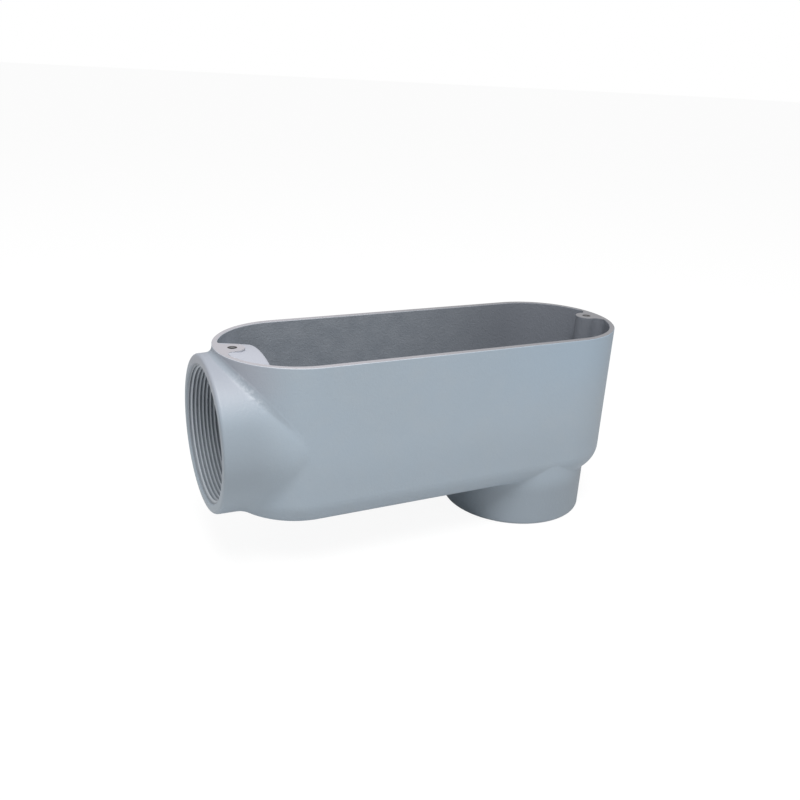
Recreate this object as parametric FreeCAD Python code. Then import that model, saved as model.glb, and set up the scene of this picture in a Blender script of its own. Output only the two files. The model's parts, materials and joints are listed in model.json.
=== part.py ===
import FreeCAD, Part

import math
import os

from FreeCAD import Vector

# Conduit body, elbow pattern: one casting with a long round-ended tub that is open at the top
# for a cover, a threaded hub at one end and a second threaded hub under the other end.
# All lengths are millimetres and all angles are degrees.
# Frame: the origin is the centre of the back hub's mouth, +Z points up towards the cover
# opening, and the end hub's mouth faces -X.

# Threaded hubs
CONDUIT_DIAMETER = 114.3
THREAD_LENGTH = 36.0
MOUTH_CHAMFER = 1.0
THROAT_DIAMETER = 102.0
THROAT_LENGTH = 9.0
THROAT_LIP = 3.0
SHOULDER_ANGLE = 60.0
HUB_EDGE_RADIUS = 3.0
END_HUB_WALL = 8.05
END_HUB_DRAFT = 1.1
BACK_HUB_WALL = 9.05
BACK_HUB_DRAFT = 0.6

# Tub
ARC_SPACING = 240.0
SIDE_WALL = 5.7
END_WALL = 4.2
FLOOR_WALL = 7.0
WALL_DRAFT = 0.4
BOTTOM_RADIUS = 22.5
INNER_BOTTOM_RADIUS = 15.0
RIM_CHAMFER = 0.5
METAL_OVER_END_HUB = 5.5
METAL_UNDER_END_HUB = 1.6
METAL_BESIDE_HUBS = 0.35

# Where the hubs sit on the tub
END_HUB_OVERHANG = 11.1
BACK_HUB_SETBACK = 14.7
BACK_HUB_LAND = 1.6

# Blends between the hubs and the tub
END_CREASE_RADIUS = 20.0
BACK_CREASE_RADIUS = 3.0
CREASE_TOP_SHARE = 0.8

# Roof over the end hub's inner end, inside the tub
ROOF_DROP = 4.0
ROOF_CLIMB = 8.5
ROOF_RADIUS = 98.0
END_WALL_BLEND = 3.0

# Cover screws
SCREW_DIAMETER = 6.35
SCREW_INSET = 14.5
SCREW_HOLE_DEPTH = 9.0
SCREW_COUNTERSINK = 0.5
DRILL_POINT_ANGLE = 118.0
BOSS_RADIUS = 10.0
BOSS_BLEND = 7.0

# How far a cutting tool runs past the face that it opens
OVERRUN = 2.0

# A point that lies this close to a surface is on it
ON_SURFACE = 0.05

# Where along its length an edge is tested, from its start to its end
TESTED_SHARES = (0.2, 0.5, 0.8)


def slope(angle):
    """Sideways travel for each millimetre along a face that leans by this angle."""
    return math.tan(math.radians(angle))


# Sizes that follow from the ones above
BORE_RADIUS = CONDUIT_DIAMETER / 2
THROAT_RADIUS = THROAT_DIAMETER / 2
SHOULDER_LENGTH = (BORE_RADIUS - THROAT_RADIUS) / slope(SHOULDER_ANGLE)
HUB_LENGTH = THREAD_LENGTH + SHOULDER_LENGTH + THROAT_LENGTH
END_HUB_RADIUS = BORE_RADIUS + END_HUB_WALL
BACK_HUB_RADIUS = BORE_RADIUS + BACK_HUB_WALL
BACK_HUB_HEIGHT = HUB_LENGTH - FLOOR_WALL - BACK_HUB_LAND
BACK_HUB_ROOT_RADIUS = BACK_HUB_RADIUS + (BACK_HUB_HEIGHT + BOTTOM_RADIUS) * slope(BACK_HUB_DRAFT)
BODY_DEPTH = METAL_OVER_END_HUB + 2 * END_HUB_RADIUS + METAL_UNDER_END_HUB

# Both hubs stay just inside the tub's side walls. The end hub runs in to the centre of the rim's
# round end and widens by its draft all the way, so its own root depends on the half width.
ROOM_BESIDE_HUBS = METAL_BESIDE_HUBS + (BODY_DEPTH - BOTTOM_RADIUS) * slope(WALL_DRAFT)
AROUND_BACK_HUB = BACK_HUB_ROOT_RADIUS + ROOM_BESIDE_HUBS
AROUND_END_HUB = END_HUB_RADIUS + END_HUB_OVERHANG * slope(END_HUB_DRAFT) + ROOM_BESIDE_HUBS
AROUND_END_HUB /= 1 - slope(END_HUB_DRAFT)
HALF_WIDTH = max(AROUND_BACK_HUB, AROUND_END_HUB)
END_HUB_LENGTH = HALF_WIDTH + END_HUB_OVERHANG
INNER_HALF_WIDTH = HALF_WIDTH - SIDE_WALL

UNDERSIDE_Z = BACK_HUB_HEIGHT
RIM_Z = UNDERSIDE_Z + BODY_DEPTH
FLOOR_Z = UNDERSIDE_Z + FLOOR_WALL
RIGHT_ARC_X = BACK_HUB_SETBACK
LEFT_ARC_X = RIGHT_ARC_X - ARC_SPACING
END_HUB_FACE_X = LEFT_ARC_X - END_HUB_LENGTH
END_HUB_AXIS_Z = RIM_Z - METAL_OVER_END_HUB - END_HUB_RADIUS
END_WALL_X = END_HUB_FACE_X + HUB_LENGTH
SCREW_ARC_DISTANCE = HALF_WIDTH - SCREW_INSET

# The inside is longer than the outside's straight part, because the walls are thinner at its ends
INNER_SHIFT = SIDE_WALL - END_WALL
INNER_SPACING = ARC_SPACING + 2 * INNER_SHIFT
INNER_LEFT_X = LEFT_ARC_X - INNER_SHIFT

UP = Vector(0, 0, 1)
ALONG = Vector(1, 0, 0)
ACROSS = Vector(0, 1, 0)
ORIGIN = Vector(0, 0, 0)


def line(start, end):
    return Part.LineSegment(start, end).toShape()


def arc(start, middle, end):
    return Part.Arc(start, middle, end).toShape()


def point(radius, height):
    """A point of a profile in the XZ plane."""
    return Vector(radius, 0, height)


def corner(centre, radius, start_angle, end_angle):
    """A round corner of a profile in the XZ plane."""
    spots = []
    for angle in (start_angle, (start_angle + end_angle) / 2, end_angle):
        turn = math.radians(angle)
        spots.append(centre + point(radius * math.cos(turn), radius * math.sin(turn)))
    return arc(*spots)


def start_of(edge):
    return edge.Vertexes[0].Point


def end_of(edge):
    return edge.Vertexes[-1].Point


def profile_face(edges, top, bottom):
    """Closes a half profile along the Z axis, from its top back to its bottom."""
    axis_top = point(0, top)
    axis_bottom = point(0, bottom)
    closing = [line(end_of(edges[-1]), axis_top), line(axis_top, axis_bottom)]
    closing.append(line(axis_bottom, start_of(edges[0])))
    return Part.Face(Part.Wire(edges + closing))


def cut_by_each(shape, cutters):
    for cutter in cutters:
        shape = shape.cut(cutter)
    return shape


def turned(face, degrees=360):
    return face.revolve(ORIGIN, UP, degrees)


def rounded_foot(half_width, top, bottom, draft, radius):
    """The bottom corner of a drafted wall whose half width at its top is given."""
    lean = math.radians(draft)
    centre_z = bottom + radius
    reach = radius - (centre_z - top) * math.sin(lean)
    centre = point(half_width - reach / math.cos(lean), centre_z)
    return corner(centre, radius, -90, -draft)


def tub_solid(profile, left_x, spacing):
    """A round-ended tub: the profile turned at both ends and carried straight between them."""
    near = profile.rotated(ORIGIN, UP, 90)
    far = profile.rotated(ORIGIN, UP, -90)
    pieces = [turned(near, 180), turned(far, 180).translated(ALONG * spacing)]
    pieces += [side.extrude(ALONG * spacing) for side in (near, far)]
    tub = pieces[0].multiFuse(pieces[1:]).removeSplitter()
    return tub.translated(ALONG * left_x)


def outer_tub():
    """The tub's outside, with its rim's outer edge broken by a small chamfer."""
    foot = rounded_foot(HALF_WIDTH, RIM_Z, UNDERSIDE_Z, WALL_DRAFT, BOTTOM_RADIUS)
    wall_top = point(HALF_WIDTH - RIM_CHAMFER * slope(WALL_DRAFT), RIM_Z - RIM_CHAMFER)
    rim_edge = point(HALF_WIDTH - RIM_CHAMFER, RIM_Z)
    edges = [foot, line(end_of(foot), wall_top), line(wall_top, rim_edge)]
    return tub_solid(profile_face(edges, RIM_Z, UNDERSIDE_Z), LEFT_ARC_X, ARC_SPACING)


def tub_hollow():
    """The space inside the tub, which flares at the rim's inner edge and runs past the rim."""
    foot = rounded_foot(INNER_HALF_WIDTH, RIM_Z, FLOOR_Z, WALL_DRAFT, INNER_BOTTOM_RADIUS)
    wall_top = point(INNER_HALF_WIDTH - RIM_CHAMFER * slope(WALL_DRAFT), RIM_Z - RIM_CHAMFER)
    flare_end = wall_top + point(RIM_CHAMFER + OVERRUN, RIM_CHAMFER + OVERRUN)
    edges = [foot, line(end_of(foot), wall_top), line(wall_top, flare_end)]
    return tub_solid(profile_face(edges, RIM_Z + OVERRUN, FLOOR_Z), INNER_LEFT_X, INNER_SPACING)


def hub_solid(mouth_radius, draft, length):
    """A hub's outside, standing on its mouth: it widens inwards and its mouth edge is round."""
    centre_radius = mouth_radius + HUB_EDGE_RADIUS * slope(draft)
    centre_radius -= HUB_EDGE_RADIUS / math.cos(math.radians(draft))
    edge = corner(point(centre_radius, HUB_EDGE_RADIUS), HUB_EDGE_RADIUS, -90, -draft)
    root = point(mouth_radius + length * slope(draft), length)
    return turned(profile_face([edge, line(end_of(edge), root)], length, 0))


def hub_bore():
    """The cut for a hub standing on its mouth: chamfer, thread wall, shoulder and lipped throat."""
    shoulder_end = THREAD_LENGTH + SHOULDER_LENGTH
    lip_centre = point(THROAT_RADIUS + THROAT_LIP, HUB_LENGTH - THROAT_LIP)
    lip = corner(lip_centre, THROAT_LIP, 180, 90)
    stations = [
        point(BORE_RADIUS + MOUTH_CHAMFER + OVERRUN, -OVERRUN),
        point(BORE_RADIUS, MOUTH_CHAMFER),
        point(BORE_RADIUS, THREAD_LENGTH),
        point(THROAT_RADIUS, shoulder_end),
        start_of(lip),
    ]
    edges = [line(start, end) for start, end in zip(stations, stations[1:])]
    edges += [lip, line(end_of(lip), end_of(lip) + point(0, OVERRUN))]
    return turned(profile_face(edges, HUB_LENGTH + OVERRUN, -OVERRUN))


def at_end_hub(shape):
    """Lays a shape that stands on its mouth along +X at the end hub's mouth."""
    laid = shape.rotated(ORIGIN, ACROSS, 90)
    return laid.translated(Vector(END_HUB_FACE_X, 0, END_HUB_AXIS_Z))


def end_hub_distance(spot):
    """How far a point lies outside the end hub's drafted wall."""
    run_in = spot.x - END_HUB_FACE_X
    radius = END_HUB_RADIUS + run_in * slope(END_HUB_DRAFT)
    return math.hypot(spot.y, spot.z - END_HUB_AXIS_Z) - radius


def back_hub_distance(spot):
    """How far a point lies outside the back hub's drafted wall."""
    radius = BACK_HUB_RADIUS + spot.z * slope(BACK_HUB_DRAFT)
    return math.hypot(spot.x, spot.y) - radius


def crease_edges(shape, distance, beyond_mouth):
    """The edges where a hub's wall runs into the tub, off the plane that mirrors the casting."""
    found = []
    for edge in shape.Edges:
        span = edge.LastParameter - edge.FirstParameter
        spots = [edge.valueAt(edge.FirstParameter + share * span) for share in TESTED_SHARES]
        on_wall = all(abs(distance(spot)) < ON_SURFACE for spot in spots)
        clear = all(spot.y > ON_SURFACE and beyond_mouth(spot) for spot in spots)
        if on_wall and clear:
            found.append(edge)
    return found


def half_outside():
    """The casting's outside with no hollows, on the +Y side of the plane that mirrors it."""
    end_hub = at_end_hub(hub_solid(END_HUB_RADIUS, END_HUB_DRAFT, END_HUB_LENGTH))
    back_hub_length = BACK_HUB_HEIGHT + BOTTOM_RADIUS + BACK_HUB_SETBACK
    back_hub = hub_solid(BACK_HUB_RADIUS, BACK_HUB_DRAFT, back_hub_length)
    whole = outer_tub().multiFuse([end_hub, back_hub]).removeSplitter()
    around = whole.BoundBox
    around.enlarge(OVERRUN)
    low = Vector(around.XMin, 0, around.ZMin)
    kept_side = Part.makeBox(around.XLength, around.YMax, around.ZLength, low)
    return whole.common(kept_side).removeSplitter().Solids[0]


def blended_half():
    """The half outside with its hub creases filled by round blends.

    The end hub's blend is widest low down and narrows to the little wall that is left
    between the top of the hub and the rim.
    """
    half = half_outside()
    back = crease_edges(half, back_hub_distance, lambda spot: spot.z > HUB_EDGE_RADIUS)
    half = half.makeFillet(BACK_CREASE_RADIUS, back)
    past_edge = END_HUB_FACE_X + HUB_EDGE_RADIUS
    end = crease_edges(half, end_hub_distance, lambda spot: spot.x > past_edge)
    upper = max(end, key=lambda edge: edge.BoundBox.ZMax)
    top_radius = min(END_CREASE_RADIUS, CREASE_TOP_SHARE * METAL_OVER_END_HUB)
    return half.makeFillet(END_CREASE_RADIUS, top_radius, [upper])


def outside():
    half = blended_half()
    return half.fuse(half.mirror(ORIGIN, ACROSS)).removeSplitter()


def end_block():
    """What stays solid at the hub end of the tub, under a shallow round roof.

    The roof's ridge is lowest at the end wall and climbs from there towards the rim.
    """
    ridge = Vector(END_WALL_X, 0, RIM_Z - ROOF_DROP)
    start = ridge + Vector(HALF_WIDTH, 0, -ROOF_RADIUS)
    roof = Part.makeCylinder(ROOF_RADIUS, 2 * HALF_WIDTH, start, -ALONG)
    corner_below = start - Vector(2 * HALF_WIDTH, ROOF_RADIUS, BODY_DEPTH)
    below = Part.makeBox(2 * HALF_WIDTH, 2 * ROOF_RADIUS, BODY_DEPTH, corner_below)
    block = roof.fuse(below).removeSplitter().rotated(ridge, ACROSS, ROOF_CLIMB)
    beyond_wall = Part.makeBox(
        2 * HALF_WIDTH, 2 * ROOF_RADIUS, 2 * BODY_DEPTH, Vector(END_WALL_X, -ROOF_RADIUS, 0)
    )
    return block.cut(beyond_wall)


def end_wall_edges(space):
    """The edges that lie in the flat end wall of the tub's inside, its roof edge included."""
    found = []
    for edge in space.Edges:
        box = edge.BoundBox
        if max(abs(box.XMin - END_WALL_X), abs(box.XMax - END_WALL_X)) < ON_SURFACE:
            found.append(edge)
    return found


def boss_footprint():
    """A screw boss in plan, its wall side towards +X, about the centre of the inside's round end.

    The round boss meets the tub's round wall through two blend arcs, each touching both.
    """
    boss = Vector(SCREW_ARC_DISTANCE - INNER_SHIFT, 0, 0)
    to_blend = BOSS_RADIUS + BOSS_BLEND
    wall_to_blend = INNER_HALF_WIDTH - BOSS_BLEND
    blend_x = (wall_to_blend**2 - to_blend**2 + boss.x**2) / (2 * boss.x)
    blend_y = math.sqrt(wall_to_blend**2 - blend_x**2)
    wall_turn = math.atan2(blend_y, blend_x)
    boss_turn = math.atan2(blend_y, blend_x - boss.x)

    def around(centre, radius, turn):
        return centre + Vector(radius * math.cos(turn), radius * math.sin(turn), 0)

    wall_points = [around(ORIGIN, INNER_HALF_WIDTH, turn) for turn in (wall_turn, -wall_turn)]
    boss_points = [around(boss, BOSS_RADIUS, turn) for turn in (boss_turn, -boss_turn)]
    middle_turn = (wall_turn + boss_turn - math.pi) / 2
    edges = [arc(boss_points[0], boss - ALONG * BOSS_RADIUS, boss_points[1])]
    for side, wall_point, boss_point in zip((1, -1), wall_points, boss_points):
        blend = Vector(blend_x, side * blend_y, 0)
        middle = around(blend, BOSS_BLEND, side * middle_turn)
        edges.append(arc(wall_point, middle, boss_point))
    outward = [spot + ALONG * SIDE_WALL for spot in wall_points]
    edges += [line(wall_points[0], outward[0]), line(outward[0], outward[1])]
    edges.append(line(outward[1], wall_points[1]))
    return Part.Face(Part.Wire(Part.sortEdges(edges)[0]))


def bosses():
    """Both screw bosses as pillars from the floor to the rim."""
    pillar = boss_footprint().extrude(UP * (RIM_Z - FLOOR_Z + 2 * OVERRUN))
    pillar.translate(UP * (FLOOR_Z - OVERRUN))
    left = pillar.rotated(ORIGIN, UP, 180).translated(ALONG * INNER_LEFT_X)
    return [left, pillar.translated(ALONG * (INNER_LEFT_X + INNER_SPACING))]


def screw_hole():
    """A blind tapped hole at the origin, opening upwards, with a countersunk mouth."""
    radius = SCREW_DIAMETER / 2
    point_depth = radius / slope(DRILL_POINT_ANGLE / 2)
    stations = [
        point(0, -SCREW_HOLE_DEPTH - point_depth),
        point(radius, -SCREW_HOLE_DEPTH),
        point(radius, -SCREW_COUNTERSINK),
        point(radius + SCREW_COUNTERSINK + OVERRUN, OVERRUN),
        point(0, OVERRUN),
    ]
    edges = [line(start, end) for start, end in zip(stations, stations[1:] + stations[:1])]
    return turned(Part.Face(Part.Wire(edges)))


def screw_holes():
    hole = screw_hole()
    places = (LEFT_ARC_X - SCREW_ARC_DISTANCE, RIGHT_ARC_X + SCREW_ARC_DISTANCE)
    return [hole.translated(Vector(x, 0, RIM_Z)) for x in places]


def back_hub_land():
    """The low round land on the tub's floor that the back hub's throat opens through."""
    top_radius = THROAT_RADIUS + 2 * THROAT_LIP
    return Part.makeCone(
        top_radius + BACK_HUB_LAND, top_radius, BACK_HUB_LAND, Vector(0, 0, FLOOR_Z), UP
    )


def end_pocket():
    """The round room in front of the end hub's throat, as wide as the hub's wall allows."""
    start = Vector(END_WALL_X, 0, END_HUB_AXIS_Z)
    return Part.makeCylinder(END_HUB_RADIUS - SIDE_WALL, LEFT_ARC_X - END_WALL_X, start, ALONG)


def hollow():
    """The inside of the tub, less everything that stands in it."""
    space = tub_hollow().cut(end_block()).Solids[0]
    space = space.makeFillet(END_WALL_BLEND, end_wall_edges(space))
    space = space.fuse(end_pocket())
    return cut_by_each(space, bosses() + [back_hub_land()])


def conduit_body():
    bore = hub_bore()
    body = cut_by_each(outside(), [hollow(), bore, at_end_hub(bore)] + screw_holes())
    return body.removeSplitter().Solids[0]


os.makedirs("parts", exist_ok=True)
conduit_body().exportStep("parts/conduit_body.step")
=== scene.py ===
"""Looks for a large painted elbow conduit body: one casting with two threaded hubs and no cover.

The casting itself comes from the frame and only gets its paint here. The pieces added to it are
the fine forms cut into it: the taper pipe thread in each hub and the thread in each screw hole.
All lengths are metres, in the frame's own axes: +Z up towards the cover opening, -X out of the
end hub, and the origin at the centre of the back hub's mouth.
"""

import json
import math

import bmesh
import bpy
import numpy as np
from mathutils import Matrix, Vector


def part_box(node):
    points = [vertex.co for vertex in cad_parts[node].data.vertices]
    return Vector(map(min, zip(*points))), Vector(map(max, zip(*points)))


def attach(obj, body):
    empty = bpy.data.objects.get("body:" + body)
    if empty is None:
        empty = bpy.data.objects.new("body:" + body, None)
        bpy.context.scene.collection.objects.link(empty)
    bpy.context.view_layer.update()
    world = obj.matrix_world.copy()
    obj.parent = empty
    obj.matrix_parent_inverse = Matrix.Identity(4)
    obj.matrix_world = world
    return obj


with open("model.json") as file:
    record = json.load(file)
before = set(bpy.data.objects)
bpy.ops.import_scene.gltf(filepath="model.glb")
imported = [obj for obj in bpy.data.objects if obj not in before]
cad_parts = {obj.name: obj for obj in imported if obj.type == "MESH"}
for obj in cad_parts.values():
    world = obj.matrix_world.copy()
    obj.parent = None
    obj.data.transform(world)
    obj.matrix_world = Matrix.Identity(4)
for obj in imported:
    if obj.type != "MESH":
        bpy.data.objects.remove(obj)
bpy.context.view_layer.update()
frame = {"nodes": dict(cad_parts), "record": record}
low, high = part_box("conduit_body")
mounts = {mount["name"]: mount for mount in frame["record"]["mounts"]}
screw_spacing = mounts["cover_screws"]["dims"]["spacing_x_mm"] / 1000

# Hub threads
HUB_PITCH = 0.003175
HUB_TAPER = 1 / 32
HUB_ROOT_RADIUS = 0.05706
HUB_THREAD_HEIGHT = 0.00245
HUB_THREAD_START = 0.001
HUB_THREAD_END = 0.0366
HUB_COUNTERSINK_RADIUS = 0.05815
HUB_SEAT_RADIUS = 0.0573
HUB_THREAD = (
    HUB_PITCH, HUB_TAPER, HUB_ROOT_RADIUS, HUB_THREAD_HEIGHT,
    HUB_THREAD_START, HUB_THREAD_END, HUB_COUNTERSINK_RADIUS, HUB_SEAT_RADIUS,
)
HUB_THREAD_COLUMNS = 192

# Cover screw threads
SCREW_PITCH = 0.00127
SCREW_ROOT_RADIUS = 0.00315
SCREW_THREAD_HEIGHT = 0.00065
SCREW_THREAD_START = 0.0005
SCREW_THREAD_END = 0.0089
SCREW_COUNTERSINK_RADIUS = 0.00368
SCREW_SEAT_RADIUS = 0.0033
SCREW_THREAD = (
    SCREW_PITCH, 0, SCREW_ROOT_RADIUS, SCREW_THREAD_HEIGHT,
    SCREW_THREAD_START, SCREW_THREAD_END, SCREW_COUNTERSINK_RADIUS, SCREW_SEAT_RADIUS,
)
SCREW_THREAD_COLUMNS = 48

DOWN = Vector((0, 0, -1))

# Mesh clean-up: points closer than this merge, and edges sharper than this stay sharp
SEAM = 1e-6
NO_LENGTH = 1e-7
SHARP_ANGLE = math.radians(25)

# The tub in plan, and the height of its underside
TUB_MIDDLE_X = -0.1053
TUB_STRAIGHT = 0.24
TUB_HALF_WIDTH = 0.068
TUB_LEAN = math.tan(math.radians(0.4))
TUB_FOOT_RADIUS = 0.0225
TUB_UNDERSIDE = 0.03995

# The flat wall at the end hub's inner end, and the lowest the roof over it comes
END_WALL_X = -0.25586
ROOF_LOW = 0.15

# The end hub's outside
END_HUB_MOUTH = (-0.304407, 0, 0.106751)
END_HUB_RADIUS = 0.0652
END_HUB_LEAN = math.tan(math.radians(1.1))

# The pitted patch of the end hub's groove, and the way the groove runs there
PITTED_PLACE = (-0.278, -0.044, 0.1556)
PITTED_WAY = Vector((0.385, -0.65, -0.6)).normalized()

# Where each shift of the outer coat's tone starts and is complete, along x or up z, and its share
PALER_PATCHES = (0.35, 0.75)
PALER_SHARE = 0.3
COOL_ALONG = (-0.16, 0.03)
COOL_UP = (0.1, 0.17)
COOL_SHARE = 0.7
END_HUB_ALONG = (-0.245, -0.285)
# The lilac over the end hub's top is painted light, the tint of its lit upper side
LILAC_UP = (0.13, 0.165)
# Painted shade in a band round the end hub's shoulder, where its side turns down
SHOULDER_DOWN = (0.155, 0.13)
SHOULDER_UP = (0.07, 0.1)
SHOULDER_SHADE_SHARE = 0.8
# Painted shade on the outside towards the closed end
CLOSED_END_ALONG = (0.03, 0.08)
CLOSED_END_SHADE_SHARE = 0.35
# Painted shade low on the wall
LOW_WALL_DOWN = (0.115, 0.07)
LOW_WALL_SHADE_SHARE = 0.25
# Painted shade on the back hub, under the body
BACK_HUB_DOWN = (0.05, 0.03)

# The same for the inner coat, the roof and the rim
INSIDE_PATCHES = (0.3, 0.7)
# Painted shade deepens inside the tub towards the closed end over this span
DARKER_ALONG = (-0.14, 0.06)
# The roof over the end hub is painted paler, as painted light on its upward face
ROOF_STEP = 0.001
ROOF_RISE = 0.002
ROOF_OFF_WALL = (0.0622, 0.0614)
# Painted shade on the rim, growing towards the closed end
RIM_SHADE_ALONG = (-0.28, 0.03)
# Painted highlight along the rim's broken edges, full towards the end hub, and its share
EDGE_HIGHLIGHT_ALONG = (0.06, -0.2)
EDGE_HIGHLIGHT_SHARE = 0.5

# How deep under the outer skin the inner coat starts, and how far outside it the groove's blend is
COAT_CHANGE = (0.0018, 0.0034)
# The groove's blend takes painted shade, in its upper half past the mouth, up to its share
GROOVE_OUTSIDE = (0, 0.0003)
GROOVE_UP = (0.122, 0.138)
GROOVE_PAST_MOUTH = (0.002, 0.004)
GROOVE_SHADE_SHARE = 0.6

# Bands below the rim and behind the end hub's mouth, and round each screw hole, from where they
# start to where they are full
RIM_BAND = (0.0003, 0.0001)
RIM_EDGE_BAND = (0.0008, 0.0004)
MOUTH_BAND = (0.0006, 0.0001)
HOLE_RADIUS = (0.0042, 0.0036)
HOLE_BAND = (0.02, 0.015)

# The pitted patch's reach along and across the groove, how much it shows, and how much painted
# highlight pales its grains
PITTED_ALONG = (0.024, 0.01)
PITTED_ACROSS = (0.006, 0.001)
PITTED_GRAINS = (0.45, 0.65)
PITTED_HIGHLIGHT_SHARE = 0.22

# Sizes of the noise in the coat, largest first, and of the patches in cut metal
BROAD_SIZE = 0.07
PATCH_SIZE = 0.016
SAND_SIZE = 0.0026
GRAIN_SIZE = 0.0009
METAL_PATCH_SIZE = 0.01
RELIEF = 0.0002

# Camera: its place, the way it looks, its turn about that way, and its lens
CAMERA_PLACE = (-0.45105, -0.63153, 0.38361)
CAMERA_WAY = (0.4258, 0.8325, -0.3546)
CAMERA_TURN = math.radians(3.004)
LENS_MM = 38.37
SENSOR_MM = 36
NEAREST_SEEN = 0.01

# Studio: the floor, how much of it is glow to the camera, the room's light and the lamp
FLOOR_HALF = 60.0
FLOOR_GAP = 0.0002
FLOOR_TONE = (0.7, 0.7, 0.7, 1)
FLOOR_GLOW_SHARE = 0.85
FLOOR_GLOW = 1.08
WHITE = (1, 1, 1, 1)
ROOM_LIGHT = 0.45
LAMP_PLACE = (-0.45, -0.75, 2.0)
LAMP_TARGET = (-0.1, 0, 0.1)
LAMP_SIZE = 1.2
LAMP_POWER = 42

# Paint and metal tones
OUTSIDE_TONE = (0.335, 0.395, 0.45, 1)
OUTSIDE_TONE_BLUER = (0.345, 0.415, 0.485, 1)
OUTSIDE_TONE_PALER = (0.37, 0.42, 0.465, 1)
# Painted shade: the inner coat darker than the outer, with random paler patches
INSIDE_SHADED_TONE = (0.235, 0.26, 0.295, 1)
INSIDE_SHADED_TONE_PALER = (0.268, 0.293, 0.328, 1)
# Painted shade, deepest inside the tub at the closed end
INSIDE_SHADED_TONE_DARKER = (0.19, 0.205, 0.235, 1)
RIM_TONE = (0.41, 0.40, 0.43, 1)
# Painted light on the roof's upward face
ROOF_LIT_TONE = (0.43, 0.445, 0.50, 1)
OUTSIDE_TONE_COOL = (0.33, 0.42, 0.51, 1)
# Painted light: the tint of the end hub's lit top
OUTSIDE_TONE_LILAC = (0.335, 0.36, 0.41, 1)
# Painted shade: the outer coat as it looks in shade, for the end hub's shoulder, the closed end,
# the low wall, the back hub and the groove
OUTSIDE_TONE_SHADED = (0.265, 0.31, 0.355, 1)
# Painted shade on the rim towards the closed end
RIM_TONE_SHADED = (0.235, 0.235, 0.25, 1)
# Painted shade for the screw holes and their threads
HOLE_SHADE_TONE = (0.06, 0.055, 0.055, 1)
# Painted highlight, for the rim's edges and the pitted patch's grains
HIGHLIGHT_TONE = (0.62, 0.65, 0.70, 1)
# Painted shade at the thread's root, with random paler patches, and painted highlight on its
# crests
THREAD_ROOT_SHADE_TONE = (0.24, 0.27, 0.30, 1)
THREAD_ROOT_SHADE_TONE_PALER = (0.29, 0.32, 0.355, 1)
CREST_HIGHLIGHT_TONE = (0.50, 0.54, 0.585, 1)

# How far painted shade darkens the screw threads, deep in their holes
SCREW_SHADE = 0.85

# Shares of the pitch that are flat at a thread's root and crest, each side of its middle
ROOT_FLAT = 0.05
CREST_FLAT = 0.07


def mesh_piece(name, points, quads, material):
    """A closed piece in the frame's own coordinates, its seam merged and its faces outwards."""
    mesh = bpy.data.meshes.new(name)
    mesh.from_pydata(points.tolist(), [], quads.tolist())
    shell = bmesh.new()
    shell.from_mesh(mesh)
    bmesh.ops.remove_doubles(shell, verts=shell.verts, dist=SEAM)
    bmesh.ops.dissolve_degenerate(shell, edges=shell.edges, dist=NO_LENGTH)
    bmesh.ops.recalc_face_normals(shell, faces=shell.faces)
    shell.to_mesh(mesh)
    shell.free()
    mesh.shade_smooth()
    mesh.set_sharp_from_angle(angle=SHARP_ANGLE)
    mesh.materials.append(material)
    piece = bpy.data.objects.new(name, mesh)
    bpy.context.scene.collection.objects.link(piece)
    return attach(piece, "root")


def grid_quads(rows, columns):
    """The quads of a grid of points stored row by row, closed from its last row to its first."""
    row, column = np.meshgrid(np.arange(rows), np.arange(columns - 1), indexing="ij")
    here = row * columns + column
    above = (row + 1) % rows * columns + column
    return np.stack([here, here + 1, above + 1, above], axis=-1).reshape(-1, 4)


def thread_radius(depth, turn, pitch, taper, root, height, countersink):
    """The wall radius of an internal thread at a depth and a turn, in whole turns.

    One turn carries the groove one pitch deeper. Across a pitch the wall goes from the root flat
    up a straight flank to the crest flat and down again, the root closes in with the taper, and a
    45 degree countersink cuts away whatever stands inside its cone at the mouth.
    """
    phase = (depth / pitch - turn) % 1
    stations = [0, ROOT_FLAT, 0.5 - CREST_FLAT, 0.5 + CREST_FLAT, 1 - ROOT_FLAT, 1]
    tooth = np.interp(phase, stations, [0, 0, 1, 1, 0, 0])
    wall = root - depth * taper - height * tooth
    return np.maximum(wall, countersink - depth)


def thread_liner(name, mouth, inward, size, columns, material):
    """A closed ring whose inside is a right-hand thread and whose outside is sunk in the casting.

    Rows of points follow the thread's own helix, at the corners and flank middles of its profile,
    and are held between the ring's two end planes. Two plain rows close the ring behind them.
    The size is one of the two sets of thread measures, HUB_THREAD or SCREW_THREAD.
    """
    pitch, taper, root, height, start, end, countersink, seat = size
    stations = [-ROOT_FLAT, 0, ROOT_FLAT, 0.25, 0.5 - CREST_FLAT, 0.5, 0.5 + CREST_FLAT, 0.75]
    turns = np.arange(-1, math.ceil(end / pitch) + 1)
    phases = (turns[:, None] + np.array(stations)[None, :]).ravel()
    turn = np.linspace(0, 1, columns + 1)[None, :]
    depth = np.clip((phases[:, None] + turn) * pitch, start, end)
    radius = thread_radius(depth, turn, pitch, taper, root, height, countersink)
    plain = np.ones_like(turn)
    depth = np.vstack([depth, end * plain, start * plain])
    radius = np.vstack([radius, seat * plain, seat * plain])
    axis = Vector(inward)
    side = axis.orthogonal().normalized()
    other = axis.cross(side)
    angle = 2 * math.pi * turn
    around = np.cos(angle)[..., None] * np.array(side) + np.sin(angle)[..., None] * np.array(other)
    points = np.array(mouth) + depth[..., None] * np.array(axis) + radius[..., None] * around
    quads = grid_quads(*depth.shape)
    return mesh_piece(name, points.reshape(-1, 3), quads, material)


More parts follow.
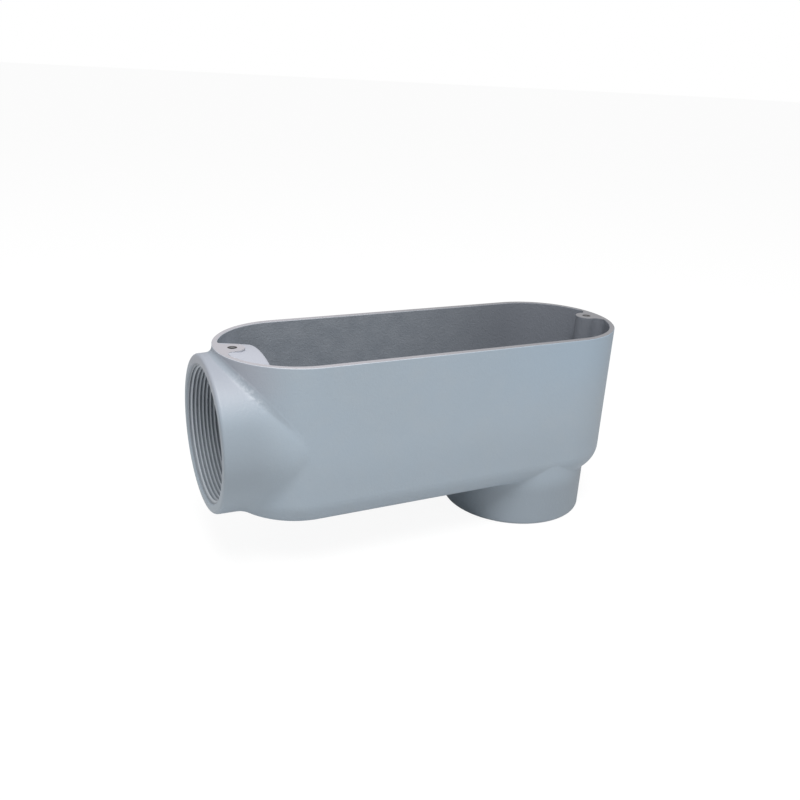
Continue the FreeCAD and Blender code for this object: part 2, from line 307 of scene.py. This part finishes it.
class Field:
    """A socket used as a number in Python expressions: each operator adds one Math node."""

    def __init__(self, finish, socket):
        self.finish = finish
        self.socket = socket

    def math(self, operation, *values):
        """A Math node with this field as its first value."""
        return self.finish.node("Math", {"operation": operation}, [self, *values])

    def __add__(self, other):
        return self.math("ADD", other)

    __radd__ = __add__

    def __mul__(self, other):
        return self.math("MULTIPLY", other)

    __rmul__ = __mul__

    def __sub__(self, other):
        return self.math("SUBTRACT", other)

    def __rsub__(self, other):
        return self.finish.node("Math", {"operation": "SUBTRACT"}, [other, self])

    def __truediv__(self, other):
        return self.math("DIVIDE", other)

    def __abs__(self):
        return self.math("ABSOLUTE")

    def most(self, other):
        """The larger of the two at each place."""
        return self.math("MAXIMUM", other)

    def root(self):
        """The square root."""
        return self.math("SQRT")

    def ramp(self, start, end):
        """0 before start and 1 after end, with a smooth step between; start may be the larger."""
        settings = {"interpolation_type": "SMOOTHSTEP"}
        return self.finish.node("MapRange", settings, {0: self, 1: start, 2: end, 3: 0, 4: 1})


class Finish:
    """A material and the nodes added to it."""

    def __init__(self, name):
        self.material = bpy.data.materials.new(name)
        self.material.use_nodes = True
        self.tree = self.material.node_tree
        self.shader = self.tree.nodes["Principled BSDF"]
        place = self.node("TexCoord", {}, {}, output="Object")
        self.place = place
        parts = self.tree.nodes.new("ShaderNodeSeparateXYZ")
        self.tree.links.new(place.socket, parts.inputs[0])
        self.x, self.y, self.z = (Field(self, socket) for socket in parts.outputs)

    def node(self, kind, settings, inputs, output=0):
        """Adds a node, sets its settings, then sets or links its inputs, and returns an output."""
        added = self.tree.nodes.new("ShaderNode" + kind)
        for key, value in settings.items():
            setattr(added, key, value)
        pairs = inputs.items() if isinstance(inputs, dict) else enumerate(inputs)
        for key, value in pairs:
            self.feed(added.inputs[key], value)
        return Field(self, added.outputs[output])

    def feed(self, socket, value):
        """Links a field to a socket, or sets a plain value on it."""
        if isinstance(value, Field):
            self.tree.links.new(value.socket, socket)
        else:
            socket.default_value = value

    def noise(self, size, detail):
        """Soft noise about 0.5 whose features are about this size."""
        inputs = {"Vector": self.place, "Scale": 1 / size, "Detail": detail}
        return self.node("TexNoise", {}, inputs)

    def about(self, start, axis):
        """How far along an axis from its start a place lies, and how far off the axis."""
        vector = "VectorMath"
        offset = self.node(vector, {"operation": "SUBTRACT"}, [self.place, tuple(start)])
        turned = self.node(vector, {"operation": "CROSS_PRODUCT"}, [offset, tuple(axis)])
        along = {"operation": "DOT_PRODUCT"}
        depth = self.node(vector, along, [offset, tuple(axis)], output="Value")
        return depth, self.node(vector, {"operation": "LENGTH"}, [turned], output="Value")

    def mix(self, share, first, second):
        """A colour between two colours."""
        return self.node("Mix", {"data_type": "RGBA"}, {0: share, 6: first, 7: second}, output=2)

    def bump(self, height, reach):
        """A surface direction that a height field tilts by up to this reach."""
        return self.node("Bump", {}, {"Strength": 1.0, "Distance": reach, "Height": height})

    def set(self, **inputs):
        """Feeds the shader's own sockets, named with _ for each space."""
        for key, value in inputs.items():
            self.feed(self.shader.inputs[key.replace("_", " ")], value)


def tub_distance(paint):
    """How far a place lies from the tub's upright middle plane, round its ends as well."""
    past_straight = (abs(paint.x - TUB_MIDDLE_X) - TUB_STRAIGHT / 2).most(0)
    return (past_straight * past_straight + paint.y * paint.y).root()


def tub_depth(paint, from_axis):
    """How far a place lies inside the tub's outer skin: its leaning wall, round foot and floor."""
    skin = from_axis + (high.z - paint.z) * TUB_LEAN
    beside = (skin - (TUB_HALF_WIDTH - TUB_FOOT_RADIUS)).most(0)
    below = (TUB_UNDERSIDE + TUB_FOOT_RADIUS - paint.z).most(0)
    return TUB_FOOT_RADIUS - (beside * beside + below * below).root()


def groove(paint, depth):
    """Where painted shade goes in the blended groove between the end hub and the tub, in its upper
    half.

    It is the only place that stands outside both the hub's cone and the tub's skin.
    """
    run_in, from_hub = paint.about(END_HUB_MOUTH, (1, 0, 0))
    over_hub = from_hub - (END_HUB_RADIUS + run_in * END_HUB_LEAN)
    both = over_hub.ramp(*GROOVE_OUTSIDE) * (0 - depth).ramp(*GROOVE_OUTSIDE)
    return both * paint.z.ramp(*GROOVE_UP) * run_in.ramp(*GROOVE_PAST_MOUTH)


def outside_tone(paint, patches):
    """The outer coat: a little bluer in broad areas, bluer high up towards the closed end, a lilac
    tint of painted light over the end hub's top, and painted shade on the hub's shoulder, at the
    closed end, low down and on the back hub.
    """
    tone = paint.mix(paint.noise(BROAD_SIZE, 1.0), OUTSIDE_TONE, OUTSIDE_TONE_BLUER)
    tone = paint.mix(patches.ramp(*PALER_PATCHES) * PALER_SHARE, tone, OUTSIDE_TONE_PALER)
    cool = paint.x.ramp(*COOL_ALONG) * paint.z.ramp(*COOL_UP)
    tone = paint.mix(cool * COOL_SHARE, tone, OUTSIDE_TONE_COOL)
    end_hub = paint.x.ramp(*END_HUB_ALONG)
    # Painted light: the end hub's upper side takes the lilac tint of its lit top
    tone = paint.mix(end_hub * paint.z.ramp(*LILAC_UP), tone, OUTSIDE_TONE_LILAC)
    # Painted shade round the end hub's shoulder
    shoulder = end_hub * paint.z.ramp(*SHOULDER_DOWN) * paint.z.ramp(*SHOULDER_UP)
    # Painted shade towards the closed end
    closed_end = paint.x.ramp(*CLOSED_END_ALONG)
    # Painted shade low on the wall
    low_wall = paint.z.ramp(*LOW_WALL_DOWN)
    tone = paint.mix(shoulder * SHOULDER_SHADE_SHARE, tone, OUTSIDE_TONE_SHADED)
    tone = paint.mix(closed_end * CLOSED_END_SHADE_SHARE, tone, OUTSIDE_TONE_SHADED)
    tone = paint.mix(low_wall * LOW_WALL_SHADE_SHARE, tone, OUTSIDE_TONE_SHADED)
    # Painted shade on the back hub under the body
    return paint.mix(paint.z.ramp(*BACK_HUB_DOWN), tone, OUTSIDE_TONE_SHADED)


def inside_tone(paint, patches, from_axis):
    """The inner coat, painted darker as shade inside the tub and darkest at the closed end, and
    the paler roof over the end hub, painted light on its upward face.
    """
    tone = paint.mix(patches.ramp(*INSIDE_PATCHES), INSIDE_SHADED_TONE, INSIDE_SHADED_TONE_PALER)
    # Painted shade inside the tub, deepest at the closed end
    tone = paint.mix(paint.x.ramp(*DARKER_ALONG), tone, INSIDE_SHADED_TONE_DARKER)
    # Painted light: the roof over the end hub is kept out of the inside shade and painted paler
    roof = paint.x.ramp(END_WALL_X + ROOF_STEP, END_WALL_X)
    roof = roof * paint.z.ramp(ROOF_LOW, ROOF_LOW + ROOF_RISE)
    roof = roof * from_axis.ramp(*ROOF_OFF_WALL)
    return paint.mix(roof, tone, ROOF_LIT_TONE)


def below_rim(paint, band):
    """0 further below the rim than the band's start, and 1 nearer to it than the band's end."""
    start, full = band
    return paint.z.ramp(high.z - start, high.z - full)


def casting_paint():
    """Blue-grey satin paint over a sand casting: grainy where cast and smooth where machined.

    A painted highlight runs along the machined rim's broken edges, the rim, the inside and the end
    hub's groove take painted shade, the screw holes are painted dark as shade, and a patch of the
    end hub's groove is pitted where the coat did not flow out, its grains painted paler as
    highlight.
    """
    paint = Finish("casting_paint")
    from_axis = tub_distance(paint)
    depth = tub_depth(paint, from_axis)
    inside = depth.ramp(*COAT_CHANGE)
    from_screw = abs(paint.x - TUB_MIDDLE_X) - screw_spacing / 2
    from_screw = (from_screw * from_screw + paint.y * paint.y).root()
    hole = from_screw.ramp(*HOLE_RADIUS) * below_rim(paint, HOLE_BAND)
    rim = below_rim(paint, RIM_BAND)
    rim_edge_highlight = below_rim(paint, RIM_EDGE_BAND) * (1 - rim)
    mouth_start, mouth_full = MOUTH_BAND
    mouth = paint.x.ramp(low.x + mouth_start, low.x + mouth_full)
    machined = rim.most(mouth)
    along, across = paint.about(PITTED_PLACE, PITTED_WAY)
    pitted = abs(along).ramp(*PITTED_ALONG) * across.ramp(*PITTED_ACROSS)
    patches = paint.noise(PATCH_SIZE, 3.0)
    grain = paint.noise(GRAIN_SIZE, 2.0)
    sand = paint.noise(SAND_SIZE, 3.0)
    # Inside the tub the darker tone is painted shade; the rougher grain there is the casting's own
    tone = paint.mix(
        inside * (1 - rim), outside_tone(paint, patches), inside_tone(paint, patches, from_axis)
    )
    # The rim darkens towards the closed end: painted shade
    rim_tone = paint.mix(paint.x.ramp(*RIM_SHADE_ALONG), RIM_TONE, RIM_TONE_SHADED)
    tone = paint.mix(rim, tone, rim_tone)
    # Painted highlight along the rim's broken edges, strongest towards the end hub
    tone = paint.mix(rim_edge_highlight * paint.x.ramp(*EDGE_HIGHLIGHT_ALONG) * EDGE_HIGHLIGHT_SHARE, tone, HIGHLIGHT_TONE)
    # Painted shade in the groove between the end hub and the tub
    tone = paint.mix(groove(paint, depth) * GROOVE_SHADE_SHARE, tone, OUTSIDE_TONE_SHADED)
    # The pitted patch's bumps are its own; the paler grains are painted highlight
    tone = paint.mix(pitted * sand.ramp(*PITTED_GRAINS) * PITTED_HIGHLIGHT_SHARE, tone, HIGHLIGHT_TONE)
    # Painted shade in the screw holes
    tone = paint.mix(hole, tone, HOLE_SHADE_TONE)
    height = (grain * (0.45 + inside * 0.9) + sand * (0.8 + inside * 0.7)) * (1 - machined)
    paint.set(
        Base_Color=tone,
        Roughness=0.42 + patches * 0.1 + inside * 0.15 - machined * 0.08,
        Normal=paint.bump(height + sand * pitted, RELIEF),
    )
    return paint.material


def thread_metal(name, mouth, inward, size, shade):
    """Cut metal, painted paler on the thread's crests as highlight and darker at its root as
    shade; shade darkens it all further, as painted shade.
    """
    pitch, taper, root, height, *_ = size
    metal = Finish(name)
    depth, radius = metal.about(mouth, inward)
    share = (root - depth * taper - radius) / height
    patches = metal.noise(METAL_PATCH_SIZE, 3.0)
    root_shade = metal.mix(patches, THREAD_ROOT_SHADE_TONE, THREAD_ROOT_SHADE_TONE_PALER)
    # Painted highlight on the crests over painted shade at the root
    tone = metal.mix(share.ramp(0.1, 0.9), root_shade, CREST_HIGHLIGHT_TONE)
    metal.set(
        # Painted shade over the whole thread, by the shade share
        Base_Color=metal.mix(shade, tone, HOLE_SHADE_TONE),
        Roughness=0.5 + patches * 0.15,
        Metallic=0.1,
    )
    return metal.material


def threads():
    """The four thread rings, each at its mount's place and sunk along its axis."""
    for name in ("end_hub", "back_hub"):
        outward = Vector(mounts[name]["axis"])
        centre = Vector(mounts[name]["pos_m"])
        mouth = centre + outward * HUB_THREAD_START
        metal = thread_metal(f"{name}_thread_metal", mouth, -outward, HUB_THREAD, 0)
        thread_liner(f"{name}_thread", mouth, -outward, HUB_THREAD, HUB_THREAD_COLUMNS, metal)
    middle = Vector(mounts["cover_screws"]["pos_m"])
    middle.z = high.z
    half = screw_spacing / 2
    for name, x in (("end_hub_side", -half), ("closed_side", half)):
        mouth = middle + Vector((x, 0, 0))
        metal = thread_metal(f"{name}_screw_thread_metal", mouth, DOWN, SCREW_THREAD, SCREW_SHADE)
        thread_liner(
            f"{name}_screw_thread", mouth, DOWN, SCREW_THREAD, SCREW_THREAD_COLUMNS, metal
        )


def camera():
    """A camera a little above the rim, in front of the end hub's side, turned a little."""
    lens = bpy.data.cameras.new("camera")
    lens.sensor_width = SENSOR_MM
    lens.lens = LENS_MM
    lens.clip_start = NEAREST_SEEN
    eye = bpy.data.objects.new("camera", lens)
    bpy.context.scene.collection.objects.link(eye)
    look = Vector(CAMERA_WAY).to_track_quat("-Z", "Y").to_matrix().to_4x4()
    roll = Matrix.Rotation(CAMERA_TURN, 4, "Z")
    eye.matrix_world = Matrix.Translation(CAMERA_PLACE) @ look @ roll
    bpy.context.scene.camera = eye


def key_lamp():
    """One broad round lamp, high up and a little in front."""
    light = bpy.data.lights.new("key", "AREA")
    light.shape = "DISK"
    light.size = LAMP_SIZE
    light.energy = LAMP_POWER
    holder = bpy.data.objects.new("key", light)
    bpy.context.scene.collection.objects.link(holder)
    holder.location = LAMP_PLACE
    aim = Vector(LAMP_TARGET) - Vector(LAMP_PLACE)
    holder.rotation_euler = aim.to_track_quat("-Z", "Y").to_euler()


def white_floor():
    """A white floor that glows to the camera, yet keeps a soft shadow."""
    half, height = FLOOR_HALF, low.z - FLOOR_GAP
    corners = [(-half, -half), (half, -half), (half, half), (-half, half)]
    mesh = bpy.data.meshes.new("floor")
    mesh.from_pydata([(x, y, height) for x, y in corners], [], [(0, 1, 2, 3)])
    floor = bpy.data.objects.new("floor", mesh)
    bpy.context.scene.collection.objects.link(floor)
    finish = Finish("floor_white")
    finish.set(Base_Color=FLOOR_TONE, Roughness=1.0)
    seen = finish.node("LightPath", {}, {}, output="Is Camera Ray")
    glow = finish.node("Emission", {}, {"Color": WHITE, "Strength": FLOOR_GLOW})
    both = finish.node("MixShader", {}, {0: seen * FLOOR_GLOW_SHARE, 2: glow})
    finish.tree.links.new(finish.shader.outputs[0], both.socket.node.inputs[1])
    finish.tree.links.new(both.socket, finish.tree.nodes["Material Output"].inputs[0])
    mesh.materials.append(finish.material)


def white_room():
    """Even light from all round, which the camera sees as plain white."""
    world = bpy.data.worlds.new("room")
    bpy.context.scene.world = world
    world.use_nodes = True
    nodes, links = world.node_tree.nodes, world.node_tree.links
    light = nodes["Background"]
    light.inputs["Color"].default_value = WHITE
    light.inputs["Strength"].default_value = ROOM_LIGHT
    white = nodes.new("ShaderNodeBackground")
    white.inputs["Color"].default_value = WHITE
    white.inputs["Strength"].default_value = 1.0
    path = nodes.new("ShaderNodeLightPath")
    choose = nodes.new("ShaderNodeMixShader")
    links.new(path.outputs["Is Camera Ray"], choose.inputs[0])
    links.new(light.outputs[0], choose.inputs[1])
    links.new(white.outputs[0], choose.inputs[2])
    links.new(choose.outputs[0], nodes["World Output"].inputs[0])


body = frame["nodes"]["conduit_body"]
paint = casting_paint()
for slot in body.material_slots:
    slot.material = paint
threads()
camera()
white_floor()
white_room()
key_lamp()
bpy.context.scene.view_settings.view_transform = "Standard"
